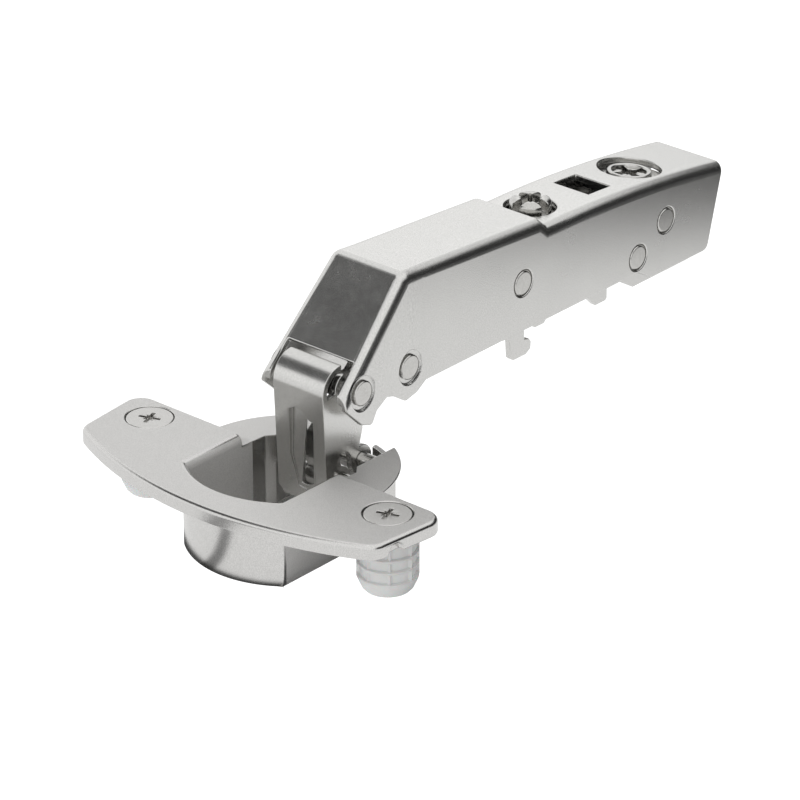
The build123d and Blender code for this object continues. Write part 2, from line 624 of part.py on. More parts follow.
def carrier_outline():
    """Side view of the carrier: front hook, middle tab, foot and the rear pivot ears."""
    front, edge = CARRIER_FRONT, CARRIER_EDGE
    hook_rear = HOOK_FRONT + HOOK_LEN
    tab_rear = TAB_FRONT + TAB_LEN
    ear_top = TILT_AXIS[1] + 2 * TILT_PIN_R
    rear = [(CARRIER_REAR, ear_top - 0.4), (CARRIER_REAR + 0.5, LEVER_AXIS[1]), (CARRIER_REAR - 1.5, CARRIER_FOOT)]
    foot = [(FOOT_FRONT_Y + 0.7, CARRIER_FOOT), (FOOT_FRONT_Y - 3.0, edge)]
    tab = [(tab_rear, edge), (tab_rear, TAB_TIP + 0.4), (tab_rear - 0.4, TAB_TIP), (TAB_FRONT + 2.1, TAB_TIP),
           (TAB_FRONT, edge)]
    bump = [(hook_rear + 5.7, edge), (hook_rear + 5.2, edge - 0.5), (hook_rear + 2.8, edge - 0.5),
            (hook_rear + 2.4, edge)]
    hook = [(hook_rear, edge), (hook_rear, HOOK_TIP + 3.0), (hook_rear + 1.2, HOOK_TIP + 2.7),
            (hook_rear + 1.8, HOOK_TIP + 2.0), (hook_rear + 1.7, HOOK_TIP + 0.7), (hook_rear + 0.5, HOOK_TIP),
            (HOOK_FRONT + 1.0, HOOK_TIP), (HOOK_FRONT + 0.3, HOOK_TIP + 0.6), (HOOK_FRONT, edge)]
    top = [(SIDE_SCREW_Y - 8.6, CARRIER_NECK), (SIDE_SCREW_Y - 4.1, CARRIER_TOP), (TILT_AXIS[0] - 4.5, CARRIER_TOP),
           (TILT_AXIS[0] - 2.5, ear_top)]
    return [(front, CARRIER_NECK), *top, *rear, *foot, *tab, *bump, *hook, (front, edge)]


def carrier():
    half = carrier_half_width()
    sheet = CARRIER_SHEET
    body = yz(carrier_outline(), half)
    low, far = -CARRIER_TOP, 2 * CARRIER_REAR
    core = [(0, low), (far, low), (far, far), (TILT_AXIS[0] - 4.5, far), (TILT_AXIS[0] - 4.5, CARRIER_TOP - sheet),
            (SIDE_SCREW_Y - 3.6, CARRIER_TOP - sheet), (SIDE_SCREW_Y - 8.1, CARRIER_NECK - sheet),
            (0, CARRIER_NECK - sheet)]
    body -= yz(core, half - sheet)
    for pivot in (RIVET_LOWER, RIVET_UPPER):
        slot = SlotCenterToCenter(2 * DEPTH_TRAVEL, 2 * (RIVET_SHAFT_R + 0.7))
        body -= extrude(Plane.YZ * Pos(*pivot) * slot, ARM_HALF_W, both=True)
    for pivot, radius in ((TILT_AXIS, TILT_PIN_R), (LEVER_AXIS, LEVER_PIN_R)):
        body -= yz_disc(pivot, radius + RUN_GAP, -ARM_HALF_W, ARM_HALF_W)
    room = DEPTH_TRAVEL + SIDE_SHANK_R + 0.5
    slot = box(-SIDE_SHANK_R - 0.5, SIDE_SHANK_R + 0.5, SIDE_SCREW_Y - room, SIDE_SCREW_Y + room,
               CARRIER_TOP - 3, CARRIER_TOP + 1)
    return body - slot


def release_lever():
    """Lever at the tail that lets the arm off its mounting plate."""
    half = carrier_half_width() - CARRIER_SHEET - BLOCK_GAP
    ly, lz = LEVER_AXIS
    outline = [(ly - 2.2, lz + 1.4), (ly + 0.6, lz + 2.0), (ly + 6.4, lz + 0.8), (ly + 6.8, lz - 0.6),
               (ly + 3.6, lz - 2.4), (ly + 1.4, lz - 4.2), (ly - 2.6, lz - 3.4)]
    lever = yz(outline, half)
    lever -= yz([(ly - 9, lz - 9), (ly + 2.4, lz - 9), (ly + 3.2, lz - 0.8), (ly - 9, lz + 0.2)], half - CARRIER_SHEET)
    return lever + yz_disc(LEVER_AXIS, LEVER_PIN_R, -carrier_half_width(), carrier_half_width())


NODES = {
    "cup_housing": cup_housing,
    "cup_pin_rear": lambda: cup_pin(CUP_REAR),
    "cup_pin_front": lambda: cup_pin(CUP_FRONT),
    "dowel_left": lambda: dowel(-1),
    "dowel_right": lambda: dowel(1),
    "dowel_screw_left": lambda: dowel_screw(-1),
    "dowel_screw_right": lambda: dowel_screw(1),
    "front_link": front_link,
    "inner_link": inner_link,
    "arm_shell": arm_shell,
    "nose_pin_front": lambda: rivet(NOSE_FRONT, NOSE_PIN_R),
    "nose_pin_rear": lambda: rivet(NOSE_REAR, NOSE_PIN_R),
    "rivet_damper": lambda: rivet(RIVET_DAMPER, RIVET_SHAFT_R),
    "rivet_lower": lambda: rivet(RIVET_LOWER, RIVET_SHAFT_R),
    "rivet_upper": lambda: rivet(RIVET_UPPER, RIVET_SHAFT_R),
    "closing_spring": closing_spring,
    "damper_cylinder": damper_cylinder,
    "damper_rod": damper_rod,
    "side_screw": side_screw,
    "screw_plate": screw_plate,
    "depth_cam": depth_cam,
    "cam_plate": cam_plate,
    "slide_block": slide_block,
    "carrier": carrier,
    "release_lever": release_lever,
}

os.makedirs("parts", exist_ok=True)
for name, make in NODES.items():
    export_step(make(), os.path.join("parts", name + ".step"))
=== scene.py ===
# %% [markdown]
# # A concealed cup hinge, dressed for the camera
# The CAD part gives every piece its true size. This lesson loads that frame, turns its faceted solids
# into smooth plated metal, models the screws, dowels and spring, and lights it all softly.

# %% Load the frame
import math
import bpy
from mathutils import Matrix, Vector


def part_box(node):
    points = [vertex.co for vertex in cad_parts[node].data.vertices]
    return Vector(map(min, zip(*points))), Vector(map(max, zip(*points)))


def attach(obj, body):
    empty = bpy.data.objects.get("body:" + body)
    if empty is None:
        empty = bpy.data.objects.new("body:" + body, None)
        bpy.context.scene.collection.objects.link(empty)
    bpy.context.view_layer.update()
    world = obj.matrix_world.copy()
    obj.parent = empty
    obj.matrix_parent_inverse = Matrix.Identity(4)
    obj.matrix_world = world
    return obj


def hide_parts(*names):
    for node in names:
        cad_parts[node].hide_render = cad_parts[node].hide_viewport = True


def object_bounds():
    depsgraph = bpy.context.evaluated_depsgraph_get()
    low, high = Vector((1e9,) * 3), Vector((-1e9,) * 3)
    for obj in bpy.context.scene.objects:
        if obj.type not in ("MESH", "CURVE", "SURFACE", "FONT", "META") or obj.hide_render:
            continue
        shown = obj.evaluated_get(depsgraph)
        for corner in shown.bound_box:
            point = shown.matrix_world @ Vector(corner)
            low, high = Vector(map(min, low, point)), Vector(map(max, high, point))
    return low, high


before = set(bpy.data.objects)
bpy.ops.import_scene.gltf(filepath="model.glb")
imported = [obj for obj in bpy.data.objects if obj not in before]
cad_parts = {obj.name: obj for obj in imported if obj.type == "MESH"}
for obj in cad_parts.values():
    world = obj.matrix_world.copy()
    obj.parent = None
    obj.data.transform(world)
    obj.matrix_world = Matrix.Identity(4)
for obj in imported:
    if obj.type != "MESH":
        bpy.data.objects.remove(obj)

MM = 0.001
cad_low, cad_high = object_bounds()
print("CAD box in mm:", [round((h - l) / MM, 1) for l, h in zip(cad_low, cad_high)])


# %% [markdown]
# ## The camera
# The hinge was photographed from its front right, well above it, with a long lens, so its edges stay
# almost parallel. A photographer would say 210 mm on a full-frame camera, three quarters of a metre
# away. Three directions fix a camera completely: where it looks, which way is right, and which is up.

# %% Place the camera
PHOTO_PX = 800                 # width and height of the photograph
CUP_PX = (289.25, 452.35)      # middle of the cup's mouth in the photograph
LENS_PX = 4688.7               # focal length in pixels of the photograph
SENSOR_WIDTH = 36.0            # full frame, in mm
AZIMUTH, ELEVATION, ROLL = 41.138, 26.202, -0.072
DISTANCE = 758.16 * MM
CUP_MOUTH_Z = 2.6 * MM         # top of the flange


def look_from(azimuth, elevation, roll):
    """Right, up and back directions of a camera, from angles in degrees."""
    a, e, r = (math.radians(v) for v in (azimuth, elevation, roll))
    back = Vector((math.sin(a) * math.cos(e), -math.cos(a) * math.cos(e), math.sin(e)))
    right = Vector((math.cos(a), math.sin(a), 0))
    up = back.cross(right)
    turned_right = right * math.cos(r) + up * math.sin(r)
    turned_up = up * math.cos(r) - right * math.sin(r)
    return turned_right, turned_up, back


right, up, back = look_from(AZIMUTH, ELEVATION, ROLL)
aside = (CUP_PX[0] - PHOTO_PX / 2) / LENS_PX * DISTANCE
above = (PHOTO_PX / 2 - CUP_PX[1]) / LENS_PX * DISTANCE
eye = Vector((0, 0, CUP_MOUTH_Z)) - right * aside - up * above + back * DISTANCE

camera_data = bpy.data.cameras.new("camera")
camera_data.sensor_width = SENSOR_WIDTH
camera_data.lens = LENS_PX * SENSOR_WIDTH / PHOTO_PX
camera_data.clip_start = 0.01
camera = bpy.data.objects.new("camera", camera_data)
camera.matrix_world = Matrix.Translation(eye) @ Matrix((right, up, back)).transposed().to_4x4()
bpy.context.collection.objects.link(camera)
bpy.context.scene.camera = camera
print("camera at", [round(v, 3) for v in eye], "lens", round(camera_data.lens, 1), "mm")


# %% [markdown]
# ## Small helpers for colours and nodes
# Colours are easier to judge as the hex values of a picture editor, but Blender mixes light in linear
# values, so one function converts them. Another adds a node, sets its inputs and links it.

# %% Colour and node helpers
def hex_colour(code):
    """Linear colour of an sRGB hex value such as C8C6C1."""
    channels = [int(code[i:i + 2], 16) / 255 for i in (0, 2, 4)]
    linear = [c / 12.92 if c <= 0.04045 else ((c + 0.055) / 1.055) ** 2.4 for c in channels]
    return (*linear, 1.0)


def add(tree, kind, settings=None, **inputs):
    """Add a node. An input is a value, or an output socket to link from. _0 is the first socket."""
    node = tree.nodes.new(kind)
    for name, value in (settings or {}).items():
        setattr(node, name, value)
    for name, value in inputs.items():
        key = int(name[1:]) if name[1:].isdigit() else name.replace("_", " ")
        socket = node.inputs[key]
        if isinstance(value, bpy.types.NodeSocket):
            tree.links.new(value, socket)
        else:
            socket.default_value = value
    return node


def new_material(name):
    """An empty material with its node tree."""
    material = bpy.data.materials.new(name)
    material.use_nodes = True
    material.node_tree.nodes.clear()
    return material, material.node_tree


# %% [markdown]
# ## Satin nickel plate
# Every sheet part of the hinge is cold rolled steel, tumbled in a drum until its edges are round and
# its faces have a fine random grain, and then nickel plated. Nickel is a very slightly warm grey. Three
# noises make its surface: a grain of 0.1 to 0.2 mm, clouds of 1.5 mm in the plating, and a slow change
# of gloss over 10 mm.
#
# The cast housing and the heads of the dowel screws look duller on their level faces, and the
# housing also inside the cup, where no drum polishes it. There the plate is rougher and, to the eye,
# less like a mirror, so less of it is metal in the shader.

# %% Nickel material
CLOUD_SIZE = 1.5 * MM
SLOW_SIZE = 10 * MM
PIT_DEPTH = 0.02 * MM
POCKET_R = 17.0                # the dull inside of the cup reaches this far from its axis, in mm
POCKET_TOP = 2.2               # and up to this height
POCKET_REAR = 2.0              # and back to this line
POCKET_METAL_LOSS = 0.7
LEVEL_METAL_LOSS = 0.38


def dulled(tree, place, gloss, dull_roughness):
    """Roughness and metal share of plate that is duller on level faces and inside the cup."""
    normal = add(tree, "ShaderNodeNewGeometry").outputs["Normal"]
    tilt = add(tree, "ShaderNodeSeparateXYZ", Vector=normal).outputs["Z"]
    level = add(tree, "ShaderNodeMapRange", Value=tilt,
                From_Min=0.93, From_Max=0.995, To_Min=0.0, To_Max=1.0).outputs["Result"]
    flat = add(tree, "ShaderNodeVectorMath", {"operation": "MULTIPLY"}, _0=place, _1=(1, 1, 0))
    away = add(tree, "ShaderNodeVectorMath", {"operation": "LENGTH"}, _0=flat.outputs["Vector"])
    round_cup = add(tree, "ShaderNodeMapRange", Value=away.outputs["Value"],
                    From_Min=(POCKET_R - 0.1) * MM, From_Max=(POCKET_R + 0.1) * MM, To_Min=1.0, To_Max=0.0)
    axes = add(tree, "ShaderNodeSeparateXYZ", Vector=place)
    low = add(tree, "ShaderNodeMath", {"operation": "LESS_THAN"}, _0=axes.outputs["Z"], _1=POCKET_TOP * MM)
    front = add(tree, "ShaderNodeMath", {"operation": "LESS_THAN"},
                _0=axes.outputs["Y"], _1=POCKET_REAR * MM)
    pocket = add(tree, "ShaderNodeMath", {"operation": "MULTIPLY"},
                 _0=round_cup.outputs["Result"], _1=low.outputs["Value"])
    pocket = add(tree, "ShaderNodeMath", {"operation": "MULTIPLY"},
                 _0=pocket.outputs["Value"], _1=front.outputs["Value"]).outputs["Value"]
    dull = add(tree, "ShaderNodeMath", {"operation": "MAXIMUM"}, _0=level, _1=pocket).outputs["Value"]
    roughness = add(tree, "ShaderNodeMix", {"data_type": "FLOAT"}, Factor=dull, A=gloss, B=dull_roughness)
    metal = add(tree, "ShaderNodeMath", {"operation": "MULTIPLY_ADD"},
                _0=pocket, _1=-POCKET_METAL_LOSS, _2=1.0)
    metal = add(tree, "ShaderNodeMath", {"operation": "MULTIPLY_ADD"},
                _0=level, _1=-LEVEL_METAL_LOSS, _2=metal.outputs["Value"])
    return roughness.outputs["Result"], metal.outputs["Value"]


def nickel(name, light, dark, roughness, grain_mm, bump, clouds=0.35, dull_roughness=None):
    """Plated metal with a tumbled grain of the given size, duller on level faces if asked."""
    material, tree = new_material(name)
    place = add(tree, "ShaderNodeTexCoord").outputs["Object"]
    grain = add(tree, "ShaderNodeTexNoise", Vector=place,
                Scale=1 / (grain_mm * MM), Detail=3.0, Roughness=0.6)
    cloud = add(tree, "ShaderNodeTexNoise", Vector=place,
                Scale=1 / CLOUD_SIZE, Detail=4.0, Roughness=0.65)
    slow = add(tree, "ShaderNodeTexNoise", Vector=place, Scale=1 / SLOW_SIZE, Detail=2.0)
    mottle = add(tree, "ShaderNodeMix", {"data_type": "FLOAT"}, Factor=clouds,
                 A=grain.outputs["Fac"], B=cloud.outputs["Fac"])
    tone = add(tree, "ShaderNodeMapRange", Value=mottle.outputs["Result"],
               From_Min=0.36, From_Max=0.62, To_Min=0.0, To_Max=1.0)
    paint = add(tree, "ShaderNodeMix", {"data_type": "RGBA"}, Factor=tone.outputs["Result"],
                _6=hex_colour(dark), _7=hex_colour(light))
    sheen = add(tree, "ShaderNodeMix", {"data_type": "FLOAT"}, Factor=0.45,
                A=slow.outputs["Fac"], B=cloud.outputs["Fac"])
    rough = add(tree, "ShaderNodeMapRange", Value=sheen.outputs["Result"], From_Min=0.35, From_Max=0.65,
                To_Min=roughness * 0.92, To_Max=roughness * 1.1).outputs["Result"]
    metal = 1.0
    if dull_roughness:
        rough, metal = dulled(tree, place, rough, dull_roughness)
    pits = add(tree, "ShaderNodeBump", Height=grain.outputs["Fac"], Strength=bump, Distance=PIT_DEPTH)
    plate = add(tree, "ShaderNodeBsdfPrincipled", Base_Color=paint.outputs[2], Metallic=metal,
                Roughness=rough, Normal=pits.outputs["Normal"])
    add(tree, "ShaderNodeOutputMaterial", Surface=plate.outputs["BSDF"])
    return material


sheet_nickel = nickel("tumbled_nickel_on_steel_sheet", "DBDAD8", "CACAC7", 0.25, 0.2, 0.6, 0.12)
cast_nickel = nickel("satin_nickel_on_zinc_casting", "D9D8D6", "C7C6C4", 0.2, 0.16, 0.5, 0.12, 0.5)
ground_nickel = nickel("ground_nickel_screw_heads", "DCDBD9", "C9C8C5", 0.2, 0.12, 0.3, 0.1, 0.5)
bright_nickel = nickel("bright_nickel_on_turned_steel", "CFCECB", "BBBAB7", 0.17, 0.12, 0.25)
spring_steel = nickel("oiled_spring_wire", "8E8C88", "5E5C59", 0.3, 0.1, 0.3)
print("five metals made")


# %% [markdown]
# ## Natural nylon and grey acetal
# The two dowels are moulded in natural polyamide, milky white, and thin ribs let some light through,
# so the shader scatters light for half a millimetre below the surface. The damper's cylinder is
# moulded in grey acetal, which is slightly waxy and stays matt.

# %% Plastic materials
SKIN_SIZE = 0.3 * MM
FLOW_SIZE = 4 * MM
PLASTIC_IOR = 1.53
NYLON_SCATTER_SHARE = 0.15


def moulded(name, colour, shade, roughness, scatter_mm):
    """Moulded plastic with a fine spark-eroded skin."""
    material, tree = new_material(name)
    place = add(tree, "ShaderNodeTexCoord").outputs["Object"]
    skin = add(tree, "ShaderNodeTexNoise", Vector=place, Scale=1 / SKIN_SIZE, Detail=2.0)
    flow = add(tree, "ShaderNodeTexNoise", Vector=place, Scale=1 / FLOW_SIZE, Detail=3.0)
    paint = add(tree, "ShaderNodeMix", {"data_type": "RGBA"}, Factor=flow.outputs["Fac"],
                _6=hex_colour(colour), _7=hex_colour(shade))
    dull = add(tree, "ShaderNodeMapRange", Value=flow.outputs["Fac"], From_Min=0.3, From_Max=0.7,
               To_Min=roughness * 0.85, To_Max=roughness * 1.15)
    relief = add(tree, "ShaderNodeBump", Height=skin.outputs["Fac"], Strength=0.25, Distance=PIT_DEPTH)
    plastic = add(tree, "ShaderNodeBsdfPrincipled", Base_Color=paint.outputs[2], IOR=PLASTIC_IOR,
                  Roughness=dull.outputs["Result"], Normal=relief.outputs["Normal"],
                  Subsurface_Weight=NYLON_SCATTER_SHARE if scatter_mm else 0.0,
                  Subsurface_Scale=max(scatter_mm, 0.01) * MM)
    add(tree, "ShaderNodeOutputMaterial", Surface=plastic.outputs["BSDF"])
    return material


white_nylon = moulded("natural_moulded_nylon", "DCDDDC", "D0D0CF", 0.35, 0.5)
grey_acetal = moulded("grey_moulded_acetal", "77787A", "6A6B6D", 0.5, 0.0)
print("two plastics made")


# %% [markdown]
# ## From CAD facets to smooth metal
# A CAD solid comes as loose triangles, which would show every facet in a shiny metal. A copy of it is
# welded, its flat faces are joined into wide ones, and its sharp edges get a small round, because no
# tumbled edge is sharp: that thin line along each edge is what makes metal look real. The weighted
# normals at the end keep the wide faces flat and give the bending of light to the rounds.

# %% Helper that finishes a CAD solid
def only(piece):
    """Make this the one selected and active object."""
    bpy.ops.object.select_all(action="DESELECT")
    piece.select_set(True)
    bpy.context.view_layer.objects.active = piece


def copy_of(node, name):
    """A new object with its own copy of a CAD node's mesh, welded and with its flat faces joined."""
    piece = bpy.data.objects.new(name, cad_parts[node].data.copy())
    bpy.context.collection.objects.link(piece)
    only(piece)
    bpy.ops.object.mode_set(mode="EDIT")
    bpy.ops.mesh.select_all(action="SELECT")
    bpy.ops.mesh.remove_doubles(threshold=0.002 * MM)
    bpy.ops.mesh.dissolve_limited(angle_limit=math.radians(0.4))
    bpy.ops.object.mode_set(mode="OBJECT")
    return piece


def smooth(piece, angle=48):
    """Smooth shading up to an angle between faces, with the wide faces kept flat."""
    only(piece)
    bpy.ops.object.shade_smooth_by_angle(angle=math.radians(angle), keep_sharp_edges=False)
    weigh = piece.modifiers.new("flat faces", "WEIGHTED_NORMAL")
    weigh.keep_sharp = True
    weigh.weight = 80
    bpy.ops.object.modifier_apply(modifier=weigh.name)


SHARP_DEG = 32                 # edges that turn by more than this get a round


def round_edges(piece, width_mm):
    """Small rounds on every sharp edge, then smooth shading with flat faces kept flat."""
    only(piece)
    bevel = piece.modifiers.new("tumbled edges", "BEVEL")
    bevel.width = width_mm * MM
    bevel.segments = 2
    bevel.limit_method = "ANGLE"
    bevel.angle_limit = math.radians(SHARP_DEG)
    bevel.use_clamp_overlap = False
    bpy.ops.object.modifier_apply(modifier=bevel.name)
    smooth(piece)


def finished(piece, material, body, node):
    """Give a piece its material, let it ride on a body and hide the CAD node that it stands for."""
    piece.data.materials.clear()
    piece.data.materials.append(material)
    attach(piece, body)
    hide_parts(node)
    spans = [[v.co[axis] for v in piece.data.vertices] for axis in range(3)]
    size = [round((max(span) - min(span)) / MM, 2) for span in spans]
    print(f"{piece.name}: {size} mm, {len(piece.data.polygons)} faces")


# %% [markdown]
# ## The pressed and cast pieces
# These keep the CAD's own shape, so they are finished copies of it. The round is as wide as the
# drum leaves it: about a fifth of a millimetre on the housing and the arm, less on small pieces.

# %% Finish the CAD pieces
CAD_PIECES = [
    ("cup_housing", "cup_body", cast_nickel, "nickel_cast", "door_side", 0.2),
    ("front_link", "front_link_pressing", sheet_nickel, "nickel_sheet", "front_link_body", 0.15),
    ("inner_link", "inner_link_bar", sheet_nickel, "nickel_sheet", "inner_link_body", 0.16),
    ("arm_shell", "arm_pressing", sheet_nickel, "nickel_sheet", "arm", 0.24),
    ("carrier", "clip_carrier", sheet_nickel, "nickel_sheet", "carrier_body", 0.14),
    ("release_lever", "clip_lever", sheet_nickel, "nickel_sheet", "lever", 0.14),
    ("slide_block", "depth_block", cast_nickel, "nickel_cast", "block", 0.12),
    ("screw_plate", "side_screw_seat", sheet_nickel, "nickel_sheet", "arm", 0.1),
    ("cam_plate", "cam_seat", sheet_nickel, "nickel_sheet", "arm", 0.1),
    ("damper_cylinder", "damper_tube", grey_acetal, "grey_plastic", "arm", 0.1),
    ("damper_rod", "damper_piston_rod", bright_nickel, "steel", "damper_plunger", 0.08),
    ("cup_pin_rear", "rear_cup_pin", bright_nickel, "steel", "door_side", 0.08),
    ("cup_pin_front", "front_cup_pin", bright_nickel, "steel", "door_side", 0.08),
    ("nose_pin_front", "front_nose_rivet", bright_nickel, "steel", "arm", 0.18),
    ("nose_pin_rear", "rear_nose_rivet", bright_nickel, "steel", "arm", 0.18),
    ("rivet_damper", "damper_rivet", bright_nickel, "steel", "arm", 0.18),
    ("rivet_lower", "lower_tail_rivet", bright_nickel, "steel", "arm", 0.18),
    ("rivet_upper", "upper_tail_rivet", bright_nickel, "steel", "arm", 0.18),
]
for node, name, material, slot, body, width in CAD_PIECES:
    piece = copy_of(node, name)
    round_edges(piece, width)
    finished(piece, material, body, node)


# %% [markdown]
# ## Turned pieces
# Screws and dowels begin as a profile spun about their axis, as on a lathe. A screw's recess is then
# cut with a driver bit made of blocks, and the edges that the cut leaves are rounded.

# %% Lathe and bit helpers
def turned(name, profile, steps=48):
    """Body of revolution about Z, from (radius, height) points in mm."""
    mesh = bpy.data.meshes.new(name)
    points = [(r * MM, 0, z * MM) for r, z in profile]
    mesh.from_pydata(points, [(i, i + 1) for i in range(len(points) - 1)], [])
    piece = bpy.data.objects.new(name, mesh)
    bpy.context.collection.objects.link(piece)
    only(piece)
    lathe = piece.modifiers.new("lathe", "SCREW")
    lathe.steps = lathe.render_steps = steps
    lathe.use_merge_vertices = True
    lathe.merge_threshold = 0.001 * MM
    bpy.ops.object.modifier_apply(modifier=lathe.name)
    bpy.ops.object.mode_set(mode="EDIT")
    bpy.ops.mesh.select_all(action="SELECT")
    bpy.ops.mesh.normals_make_consistent(inside=False)
    bpy.ops.object.mode_set(mode="OBJECT")
    return piece


BIT_ABOVE = 1.0                # the bit stands this far above the head, in mm


def cut_cross(piece, reach, width, top, depth, turn):
    """Cut two crossing slots into the top of a turned head. Sizes in mm, turn in degrees."""
    for angle in (turn, turn + 90):
        bpy.ops.object.select_all(action="DESELECT")
        bpy.ops.mesh.primitive_cube_add(size=1, location=(0, 0, (top - depth / 2 + BIT_ABOVE / 2) * MM),
                                        rotation=(0, 0, math.radians(angle)),
                                        scale=(2 * reach * MM, width * MM, (depth + BIT_ABOVE) * MM))
        bit = bpy.context.active_object
        only(piece)
        cut = piece.modifiers.new("slot", "BOOLEAN")
        cut.operation = "DIFFERENCE"
        cut.solver = "EXACT"
        cut.object = bit
        bpy.ops.object.modifier_apply(modifier=cut.name)
        bpy.data.objects.remove(bit)


def moved(piece, place):
    """Bake a place into the mesh, so that the piece's origin stays at 0."""
    piece.data.transform(place)


# %% [markdown]
# ## The two adjusters
# The side screw has a domed head that stands proud of the arm. The depth cam lies just below the arm's
# back, tilted with it, and carries an eccentric pin that pushes the slide block along.

# %% Side screw
SIDE_SCREW_Y = 60.6
SIDE_TURN = -4                 # degrees that its recess is turned
HEAD_PROUD = 1.5               # the dome's top above the arm's back, in mm
side_low, side_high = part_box("side_screw")
side_back = side_high[2] / MM - HEAD_PROUD
side_foot = side_low[2] / MM - side_back
side_screw = turned("side_adjuster", [
    (0, side_foot), (2.0, side_foot), (2.0, -1.6), (3.6, -1.6), (3.6, 0.6), (3.52, 0.95), (3.25, 1.22),
    (2.8, 1.4), (2.1, HEAD_PROUD), (0, HEAD_PROUD)])
cut_cross(side_screw, 4.5, 1.6, HEAD_PROUD, 2.0, SIDE_TURN)
cut_cross(side_screw, 1.3, 2.6, HEAD_PROUD, 2.2, SIDE_TURN)
round_edges(side_screw, 0.09)
moved(side_screw, Matrix.Translation((0, SIDE_SCREW_Y * MM, side_back * MM)))
finished(side_screw, bright_nickel, "side_screw_body", "side_screw")

# %% Depth cam
CAM_CENTRE = (0, 87.4, 24.295)
CAM_TILT = -6                  # slope of the arm's back there, in degrees
CAM_TURN = -19                 # degrees that its recess is turned
CAM_FACE = -0.82               # middle of the cam's face, against the arm's back, in mm
PIN_R, PIN_LENGTH, PIN_ECCENTRIC, PIN_MIDDLE = 1.2, 3.6, 2.0, -3.6
cam = turned("depth_adjuster", [
    (0, -3.35), (3.3, -3.35), (3.3, -2.32), (5.2, -2.32), (5.3, -2.2), (5.3, -1.45), (5.15, -1.3),
    (3.95, -1.3), (3.9, -1.2), (3.9, -0.72), (3.82, -0.56), (3.65, -0.5), (3.25, -0.5), (3.08, -0.58),
    (3.0, -0.74), (3.0, -1.1), (2.6, -0.98), (0.9, CAM_FACE), (0, CAM_FACE)])
cut_cross(cam, 2.95, 1.25, CAM_FACE, 1.3, CAM_TURN)
cut_cross(cam, 1.1, 2.2, CAM_FACE, 1.6, CAM_TURN)
round_edges(cam, 0.08)
bpy.ops.object.select_all(action="DESELECT")
bpy.ops.mesh.primitive_cylinder_add(vertices=32, radius=PIN_R * MM, depth=PIN_LENGTH * MM,
                                    location=(PIN_ECCENTRIC * MM, 0, PIN_MIDDLE * MM))
pin = bpy.context.active_object
round_edges(pin, 0.15)
cam.select_set(True)
bpy.context.view_layer.objects.active = cam
bpy.ops.object.join()
cam_place = Matrix.Translation([v * MM for v in CAM_CENTRE])
moved(cam, cam_place @ Matrix.Rotation(math.radians(CAM_TILT), 4, "X"))
finished(cam, bright_nickel, "depth_cam_body", "depth_cam")


# %% [markdown]
# ## Dowels and their screws
# Each dowel is a ribbed plug: three rings that bite into the hole, and fine ribs along it that keep it
# from turning. The ribs are made by pushing single rows of points of the turned plug outwards. The
# flat head of its screw sits in the flange.

# %% Dowels and dowel screws
DOWEL_X, DOWEL_Y = 26, -5.5
RING_R = 5.04                  # radius at the edge of a ring, and of the ribs
RING_SHOULDER_R = 4.98
VALLEY_R = 4.6                 # between the rings, widening a little upwards to the next value
VALLEY_TOP_R = 4.66
RING_EDGES = (-7.9, -5.7, -3.6)    # heights of the rings' edges, the lowest first
NECK_Z = -0.3                  # where the plug widens again below the flange
RIB_STEP = 45                  # degrees from rib to rib
HEAD_R, HEAD_T, SHANK_R = 3.95, 1.2, 1.45
HEAD_TURN = 20                 # degrees that the screw's recess is turned
for side, sign in (("left", -1), ("right", 1)):
    place = Matrix.Translation((sign * DOWEL_X * MM, DOWEL_Y * MM, 0))
    profile = [(0, -11.0), (1.6, -11.0), (3.0, -10.86), (3.8, -10.5), (4.25, -10.0), (4.75, -8.9),
               (RING_SHOULDER_R, -8.3)]
    for edge, upper in zip(RING_EDGES, (*RING_EDGES[1:], NECK_Z)):
        profile += [(RING_SHOULDER_R, edge - 0.14), (RING_R, edge), (RING_SHOULDER_R, edge + 0.14)]
        profile += [(VALLEY_R, edge + 0.34), (VALLEY_TOP_R, upper - 0.4)]
    profile += [(4.95, -0.05), (VALLEY_R, 0), (VALLEY_R, 1.25), (1.6, 1.25)]
    dowel = turned(side + "_dowel", profile, steps=72)
    for v in dowel.data.vertices:
        radius, z = math.hypot(v.co.x, v.co.y) / MM, v.co.z / MM
        turn = math.degrees(math.atan2(v.co.y, v.co.x))
        on_rib = abs(turn - RIB_STEP * round(turn / RIB_STEP)) < 1
        if on_rib and radius > 4.5 and -8.5 < z < -0.02:
            v.co.x *= RING_R / radius
            v.co.y *= RING_R / radius
    smooth(dowel, 30)
    moved(dowel, place)
    finished(dowel, white_nylon, "door_side", "dowel_" + side)

    screw_low, screw_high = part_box("dowel_screw_" + side)
    top, tip = screw_high[2] / MM, screw_low[2] / MM
    screw = turned(side + "_dowel_screw", [
        (0, tip), (SHANK_R, tip), (SHANK_R, top - HEAD_T), (HEAD_R, top - HEAD_T), (HEAD_R, top - 0.12),
        (3.86, top - 0.02), (2.4, top), (0, top)])
    cut_cross(screw, 1.9, 0.62, top, 1.0, HEAD_TURN)
    cut_cross(screw, 1.15, 0.3, top, 0.7, HEAD_TURN + 45)
    cut_cross(screw, 0.62, 1.24, top, 1.0, HEAD_TURN)
    round_edges(screw, 0.05)
    moved(screw, place)
    finished(screw, ground_nickel, "door_side", "dowel_screw_" + side)


# %% [markdown]
# ## The closing spring
# A close coil of round wire sits on the front nose pin, with one leg down and one back along the arm.
# Its route is worked out step by step, and the wire is a round bevel on that route.

